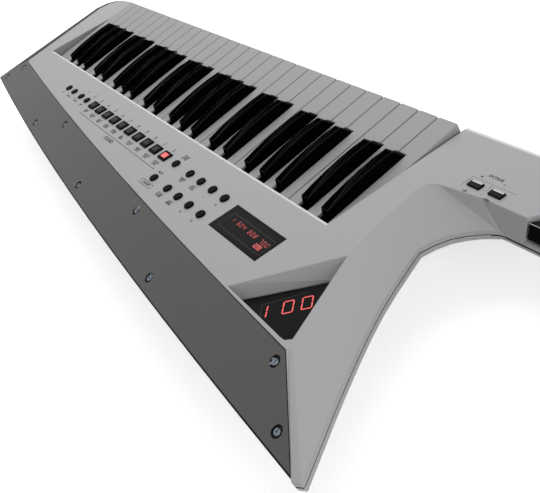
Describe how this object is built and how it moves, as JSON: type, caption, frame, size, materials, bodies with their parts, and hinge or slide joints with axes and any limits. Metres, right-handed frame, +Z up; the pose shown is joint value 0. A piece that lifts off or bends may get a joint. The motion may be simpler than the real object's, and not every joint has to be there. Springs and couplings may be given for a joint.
{
  "type": "keytar",
  "caption": "Shoulder-strap keyboard with full-size keys, a slim neck with a modulation bar and ribbon, and a metal blade along the audience side.",
  "frame": {"origin": "centre of the footprint, on the surface that the feet stand on", "axes": "+X from the neck end towards the treble end, +Y from the key fronts towards the blade, +Z up out of the key tops"},
  "size_m": [1.252, 0.276, 0.0869],
  "materials": {
    "shell_plastic": "satin light grey moulded plastic",
    "underside_plastic": "fine-grained light grey moulded plastic",
    "blade_metal": "dark satin plate",
    "chassis_steel": "zinc-plated sheet",
    "button_silicone": "matt black silicone",
    "display_lens": "smoked clear window",
    "number_lens": "smoked clear window",
    "octave_button_plastic": "glossy black",
    "ribbon_film": "satin black film",
    "bar_plastic": "glossy black",
    "white_key_plastic": "satin-gloss light key plastic",
    "black_key_plastic": "glossy black key plastic"
  },
  "bodies": {
    "base": {"top_cover": "shell_plastic", "bottom_cover": "underside_plastic", "edge_blade": "blade_metal", "key_chassis": "chassis_steel", "button_mat": "button_silicone", "display_window": "display_lens", "number_window": "number_lens", "ribbon_controller": "ribbon_film"},
    "modulation_bar": {"modulation_bar": "bar_plastic"},
    "octave_up": {"octave_up_button": "octave_button_plastic"},
    "octave_down": {"octave_down_button": "octave_button_plastic"},
    "white_key_01": {"white_key_01": "white_key_plastic"},
    "black_key_01": {"black_key_01": "black_key_plastic"},
    "white_key_02": {"white_key_02": "white_key_plastic"},
    "black_key_02": {"black_key_02": "black_key_plastic"},
    "white_key_03": {"white_key_03": "white_key_plastic"},
    "white_key_04": {"white_key_04": "white_key_plastic"},
    "black_key_03": {"black_key_03": "black_key_plastic"},
    "white_key_05": {"white_key_05": "white_key_plastic"},
    "black_key_04": {"black_key_04": "black_key_plastic"},
    "white_key_06": {"white_key_06": "white_key_plastic"},
    "black_key_05": {"black_key_05": "black_key_plastic"},
    "white_key_07": {"white_key_07": "white_key_plastic"},
    "white_key_08": {"white_key_08": "white_key_plastic"},
    "black_key_06": {"black_key_06": "black_key_plastic"},
    "white_key_09": {"white_key_09": "white_key_plastic"},
    "black_key_07": {"black_key_07": "black_key_plastic"},
    "white_key_10": {"white_key_10": "white_key_plastic"},
    "white_key_11": {"white_key_11": "white_key_plastic"},
    "black_key_08": {"black_key_08": "black_key_plastic"},
    "white_key_12": {"white_key_12": "white_key_plastic"},
    "black_key_09": {"black_key_09": "black_key_plastic"},
    "white_key_13": {"white_key_13": "white_key_plastic"},
    "black_key_10": {"black_key_10": "black_key_plastic"},
    "white_key_14": {"white_key_14": "white_key_plastic"},
    "white_key_15": {"white_key_15": "white_key_plastic"},
    "black_key_11": {"black_key_11": "black_key_plastic"},
    "white_key_16": {"white_key_16": "white_key_plastic"},
    "black_key_12": {"black_key_12": "black_key_plastic"},
    "white_key_17": {"white_key_17": "white_key_plastic"},
    "white_key_18": {"white_key_18": "white_key_plastic"},
    "black_key_13": {"black_key_13": "black_key_plastic"},
    "white_key_19": {"white_key_19": "white_key_plastic"},
    "black_key_14": {"black_key_14": "black_key_plastic"},
    "white_key_20": {"white_key_20": "white_key_plastic"},
    "black_key_15": {"black_key_15": "black_key_plastic"},
    "white_key_21": {"white_key_21": "white_key_plastic"},
    "white_key_22": {"white_key_22": "white_key_plastic"},
    "black_key_16": {"black_key_16": "black_key_plastic"},
    "white_key_23": {"white_key_23": "white_key_plastic"},
    "black_key_17": {"black_key_17": "black_key_plastic"},
    "white_key_24": {"white_key_24": "white_key_plastic"},
    "white_key_25": {"white_key_25": "white_key_plastic"},
    "black_key_18": {"black_key_18": "black_key_plastic"},
    "white_key_26": {"white_key_26": "white_key_plastic"},
    "black_key_19": {"black_key_19": "black_key_plastic"},
    "white_key_27": {"white_key_27": "white_key_plastic"},
    "black_key_20": {"black_key_20": "black_key_plastic"},
    "white_key_28": {"white_key_28": "white_key_plastic"},
    "white_key_29": {"white_key_29": "white_key_plastic"}
  },
  "joints": [
    {"name": "modulation_bar_tip", "type": "hinge", "parent": "base", "child": "modulation_bar", "pos_m": [-0.354, -0.08458, 0.05367], "axis": [0.9999, 0.0171, 0.0023], "range_deg": [0, 8], "stiffness_Nm_per_rad": 0.1, "springref_deg": -8.59},
    {"name": "octave_up_press", "type": "slide", "parent": "base", "child": "octave_up", "axis": [0, 0.1329, -0.9911], "range_m": [0, 0.001], "stiffness_N_per_m": 800, "springref_m": -0.0006},
    {"name": "octave_down_press", "type": "slide", "parent": "base", "child": "octave_down", "axis": [0, 0.1329, -0.9911], "range_m": [0, 0.001], "stiffness_N_per_m": 800, "springref_m": -0.0006},
    {"name": "white_key_01_press", "type": "hinge", "parent": "base", "child": "white_key_01", "pos_m": [-0.135, 0.03978, 0.053], "axis": [1, 0, 0], "range_deg": [0, 3.2], "stiffness_Nm_per_rad": 0.5, "springref_deg": -11.46},
    {"name": "black_key_01_press", "type": "hinge", "parent": "base", "child": "black_key_01", "pos_m": [-0.12129, 0.03978, 0.053], "axis": [1, 0, 0], "range_deg": [0, 3.2], "stiffness_Nm_per_rad": 0.5, "springref_deg": -11.46},
    {"name": "white_key_02_press", "type": "hinge", "parent": "base", "child": "white_key_02", "pos_m": [-0.10758, 0.03978, 0.053], "axis": [1, 0, 0], "range_deg": [0, 3.2], "stiffness_Nm_per_rad": 0.5, "springref_deg": -11.46},
    {"name": "black_key_02_press", "type": "hinge", "parent": "base", "child": "black_key_02", "pos_m": [-0.09388, 0.03978, 0.053], "axis": [1, 0, 0], "range_deg": [0, 3.2], "stiffness_Nm_per_rad": 0.5, "springref_deg": -11.46},
    {"name": "white_key_03_press", "type": "hinge", "parent": "base", "child": "white_key_03", "pos_m": [-0.08017, 0.03978, 0.053], "axis": [1, 0, 0], "range_deg": [0, 3.2], "stiffness_Nm_per_rad": 0.5, "springref_deg": -11.46},
    {"name": "white_key_04_press", "type": "hinge", "parent": "base", "child": "white_key_04", "pos_m": [-0.06646, 0.03978, 0.053], "axis": [1, 0, 0], "range_deg": [0, 3.2], "stiffness_Nm_per_rad": 0.5, "springref_deg": -11.46},
    {"name": "black_key_03_press", "type": "hinge", "parent": "base", "child": "black_key_03", "pos_m": [-0.05275, 0.03978, 0.053], "axis": [1, 0, 0], "range_deg": [0, 3.2], "stiffness_Nm_per_rad": 0.5, "springref_deg": -11.46},
    {"name": "white_key_05_press", "type": "hinge", "parent": "base", "child": "white_key_05", "pos_m": [-0.03904, 0.03978, 0.053], "axis": [1, 0, 0], "range_deg": [0, 3.2], "stiffness_Nm_per_rad": 0.5, "springref_deg": -11.46},
    {"name": "black_key_04_press", "type": "hinge", "parent": "base", "child": "black_key_04", "pos_m": [-0.02533, 0.03978, 0.053], "axis": [1, 0, 0], "range_deg": [0, 3.2], "stiffness_Nm_per_rad": 0.5, "springref_deg": -11.46},
    {"name": "white_key_06_press", "type": "hinge", "parent": "base", "child": "white_key_06", "pos_m": [-0.01162, 0.03978, 0.053], "axis": [1, 0, 0], "range_deg": [0, 3.2], "stiffness_Nm_per_rad": 0.5, "springref_deg": -11.46},
    {"name": "black_key_05_press", "type": "hinge", "parent": "base", "child": "black_key_05", "pos_m": [0.00208, 0.03978, 0.053], "axis": [1, 0, 0], "range_deg": [0, 3.2], "stiffness_Nm_per_rad": 0.5, "springref_deg": -11.46},
    {"name": "white_key_07_press", "type": "hinge", "parent": "base", "child": "white_key_07", "pos_m": [0.01579, 0.03978, 0.053], "axis": [1, 0, 0], "range_deg": [0, 3.2], "stiffness_Nm_per_rad": 0.5, "springref_deg": -11.46},
    {"name": "white_key_08_press", "type": "hinge", "parent": "base", "child": "white_key_08", "pos_m": [0.0295, 0.03978, 0.053], "axis": [1, 0, 0], "range_deg": [0, 3.2], "stiffness_Nm_per_rad": 0.5, "springref_deg": -11.46},
    {"name": "black_key_06_press", "type": "hinge", "parent": "base", "child": "black_key_06", "pos_m": [0.04321, 0.03978, 0.053], "axis": [1, 0, 0], "range_deg": [0, 3.2], "stiffness_Nm_per_rad": 0.5, "springref_deg": -11.46},
    {"name": "white_key_09_press", "type": "hinge", "parent": "base", "child": "white_key_09", "pos_m": [0.05692, 0.03978, 0.053], "axis": [1, 0, 0], "range_deg": [0, 3.2], "stiffness_Nm_per_rad": 0.5, "springref_deg": -11.46},
    {"name": "black_key_07_press", "type": "hinge", "parent": "base", "child": "black_key_07", "pos_m": [0.07062, 0.03978, 0.053], "axis": [1, 0, 0], "range_deg": [0, 3.2], "stiffness_Nm_per_rad": 0.5, "springref_deg": -11.46},
    {"name": "white_key_10_press", "type": "hinge", "parent": "base", "child": "white_key_10", "pos_m": [0.08433, 0.03978, 0.053], "axis": [1, 0, 0], "range_deg": [0, 3.2], "stiffness_Nm_per_rad": 0.5, "springref_deg": -11.46},
    {"name": "white_key_11_press", "type": "hinge", "parent": "base", "child": "white_key_11", "pos_m": [0.09804, 0.03978, 0.053], "axis": [1, 0, 0], "range_deg": [0, 3.2], "stiffness_Nm_per_rad": 0.5, "springref_deg": -11.46},
    {"name": "black_key_08_press", "type": "hinge", "parent": "base", "child": "black_key_08", "pos_m": [0.11175, 0.03978, 0.053], "axis": [1, 0, 0], "range_deg": [0, 3.2], "stiffness_Nm_per_rad": 0.5, "springref_deg": -11.46},
    {"name": "white_key_12_press", "type": "hinge", "parent": "base", "child": "white_key_12", "pos_m": [0.12546, 0.03978, 0.053], "axis": [1, 0, 0], "range_deg": [0, 3.2], "stiffness_Nm_per_rad": 0.5, "springref_deg": -11.46},
    {"name": "black_key_09_press", "type": "hinge", "parent": "base", "child": "black_key_09", "pos_m": [0.13917, 0.03978, 0.053], "axis": [1, 0, 0], "range_deg": [0, 3.2], "stiffness_Nm_per_rad": 0.5, "springref_deg": -11.46},
    {"name": "white_key_13_press", "type": "hinge", "parent": "base", "child": "white_key_13", "pos_m": [0.15288, 0.03978, 0.053], "axis": [1, 0, 0], "range_deg": [0, 3.2], "stiffness_Nm_per_rad": 0.5, "springref_deg": -11.46},
    {"name": "black_key_10_press", "type": "hinge", "parent": "base", "child": "black_key_10", "pos_m": [0.16658, 0.03978, 0.053], "axis": [1, 0, 0], "range_deg": [0, 3.2], "stiffness_Nm_per_rad": 0.5, "springref_deg": -11.46},
    {"name": "white_key_14_press", "type": "hinge", "parent": "base", "child": "white_key_14", "pos_m": [0.18029, 0.03978, 0.053], "axis": [1, 0, 0], "range_deg": [0, 3.2], "stiffness_Nm_per_rad": 0.5, "springref_deg": -11.46},
    {"name": "white_key_15_press", "type": "hinge", "parent": "base", "child": "white_key_15", "pos_m": [0.194, 0.03978, 0.053], "axis": [1, 0, 0], "range_deg": [0, 3.2], "stiffness_Nm_per_rad": 0.5, "springref_deg": -11.46},
    {"name": "black_key_11_press", "type": "hinge", "parent": "base", "child": "black_key_11", "pos_m": [0.20771, 0.03978, 0.053], "axis": [1, 0, 0], "range_deg": [0, 3.2], "stiffness_Nm_per_rad": 0.5, "springref_deg": -11.46},
    {"name": "white_key_16_press", "type": "hinge", "parent": "base", "child": "white_key_16", "pos_m": [0.22142, 0.03978, 0.053], "axis": [1, 0, 0], "range_deg": [0, 3.2], "stiffness_Nm_per_rad": 0.5, "springref_deg": -11.46},
    {"name": "black_key_12_press", "type": "hinge", "parent": "base", "child": "black_key_12", "pos_m": [0.23513, 0.03978, 0.053], "axis": [1, 0, 0], "range_deg": [0, 3.2], "stiffness_Nm_per_rad": 0.5, "springref_deg": -11.46},
    {"name": "white_key_17_press", "type": "hinge", "parent": "base", "child": "white_key_17", "pos_m": [0.24883, 0.03978, 0.053], "axis": [1, 0, 0], "range_deg": [0, 3.2], "stiffness_Nm_per_rad": 0.5, "springref_deg": -11.46},
    {"name": "white_key_18_press", "type": "hinge", "parent": "base", "child": "white_key_18", "pos_m": [0.26254, 0.03978, 0.053], "axis": [1, 0, 0], "range_deg": [0, 3.2], "stiffness_Nm_per_rad": 0.5, "springref_deg": -11.46},
    {"name": "black_key_13_press", "type": "hinge", "parent": "base", "child": "black_key_13", "pos_m": [0.27625, 0.03978, 0.053], "axis": [1, 0, 0], "range_deg": [0, 3.2], "stiffness_Nm_per_rad": 0.5, "springref_deg": -11.46},
    {"name": "white_key_19_press", "type": "hinge", "parent": "base", "child": "white_key_19", "pos_m": [0.28996, 0.03978, 0.053], "axis": [1, 0, 0], "range_deg": [0, 3.2], "stiffness_Nm_per_rad": 0.5, "springref_deg": -11.46},
    {"name": "black_key_14_press", "type": "hinge", "parent": "base", "child": "black_key_14", "pos_m": [0.30367, 0.03978, 0.053], "axis": [1, 0, 0], "range_deg": [0, 3.2], "stiffness_Nm_per_rad": 0.5, "springref_deg": -11.46},
    {"name": "white_key_20_press", "type": "hinge", "parent": "base", "child": "white_key_20", "pos_m": [0.31738, 0.03978, 0.053], "axis": [1, 0, 0], "range_deg": [0, 3.2], "stiffness_Nm_per_rad": 0.5, "springref_deg": -11.46},
    {"name": "black_key_15_press", "type": "hinge", "parent": "base", "child": "black_key_15", "pos_m": [0.33108, 0.03978, 0.053], "axis": [1, 0, 0], "range_deg": [0, 3.2], "stiffness_Nm_per_rad": 0.5, "springref_deg": -11.46},
    {"name": "white_key_21_press", "type": "hinge", "parent": "base", "child": "white_key_21", "pos_m": [0.34479, 0.03978, 0.053], "axis": [1, 0, 0], "range_deg": [0, 3.2], "stiffness_Nm_per_rad": 0.5, "springref_deg": -11.46},
    {"name": "white_key_22_press", "type": "hinge", "parent": "base", "child": "white_key_22", "pos_m": [0.3585, 0.03978, 0.053], "axis": [1, 0, 0], "range_deg": [0, 3.2], "stiffness_Nm_per_rad": 0.5, "springref_deg": -11.46},
    {"name": "black_key_16_press", "type": "hinge", "parent": "base", "child": "black_key_16", "pos_m": [0.37221, 0.03978, 0.053], "axis": [1, 0, 0], "range_deg": [0, 3.2], "stiffness_Nm_per_rad": 0.5, "springref_deg": -11.46},
    {"name": "white_key_23_press", "type": "hinge", "parent": "base", "child": "white_key_23", "pos_m": [0.38592, 0.03978, 0.053], "axis": [1, 0, 0], "range_deg": [0, 3.2], "stiffness_Nm_per_rad": 0.5, "springref_deg": -11.46},
    {"name": "black_key_17_press", "type": "hinge", "parent": "base", "child": "black_key_17", "pos_m": [0.39963, 0.03978, 0.053], "axis": [1, 0, 0], "range_deg": [0, 3.2], "stiffness_Nm_per_rad": 0.5, "springref_deg": -11.46},
    {"name": "white_key_24_press", "type": "hinge", "parent": "base", "child": "white_key_24", "pos_m": [0.41333, 0.03978, 0.053], "axis": [1, 0, 0], "range_deg": [0, 3.2], "stiffness_Nm_per_rad": 0.5, "springref_deg": -11.46},
    {"name": "white_key_25_press", "type": "hinge", "parent": "base", "child": "white_key_25", "pos_m": [0.42704, 0.03978, 0.053], "axis": [1, 0, 0], "range_deg": [0, 3.2], "stiffness_Nm_per_rad": 0.5, "springref_deg": -11.46},
    {"name": "black_key_18_press", "type": "hinge", "parent": "base", "child": "black_key_18", "pos_m": [0.44075, 0.03978, 0.053], "axis": [1, 0, 0], "range_deg": [0, 3.2], "stiffness_Nm_per_rad": 0.5, "springref_deg": -11.46},
    {"name": "white_key_26_press", "type": "hinge", "parent": "base", "child": "white_key_26", "pos_m": [0.45446, 0.03978, 0.053], "axis": [1, 0, 0], "range_deg": [0, 3.2], "stiffness_Nm_per_rad": 0.5, "springref_deg": -11.46},
    {"name": "black_key_19_press", "type": "hinge", "parent": "base", "child": "black_key_19", "pos_m": [0.46817, 0.03978, 0.053], "axis": [1, 0, 0], "range_deg": [0, 3.2], "stiffness_Nm_per_rad": 0.5, "springref_deg": -11.46},
    {"name": "white_key_27_press", "type": "hinge", "parent": "base", "child": "white_key_27", "pos_m": [0.48187, 0.03978, 0.053], "axis": [1, 0, 0], "range_deg": [0, 3.2], "stiffness_Nm_per_rad": 0.5, "springref_deg": -11.46},
    {"name": "black_key_20_press", "type": "hinge", "parent": "base", "child": "black_key_20", "pos_m": [0.49558, 0.03978, 0.053], "axis": [1, 0, 0], "range_deg": [0, 3.2], "stiffness_Nm_per_rad": 0.5, "springref_deg": -11.46},
    {"name": "white_key_28_press", "type": "hinge", "parent": "base", "child": "white_key_28", "pos_m": [0.50929, 0.03978, 0.053], "axis": [1, 0, 0], "range_deg": [0, 3.2], "stiffness_Nm_per_rad": 0.5, "springref_deg": -11.46},
    {"name": "white_key_29_press", "type": "hinge", "parent": "base", "child": "white_key_29", "pos_m": [0.523, 0.03978, 0.053], "axis": [1, 0, 0], "range_deg": [0, 3.2], "stiffness_Nm_per_rad": 0.5, "springref_deg": -11.46}
  ]
}
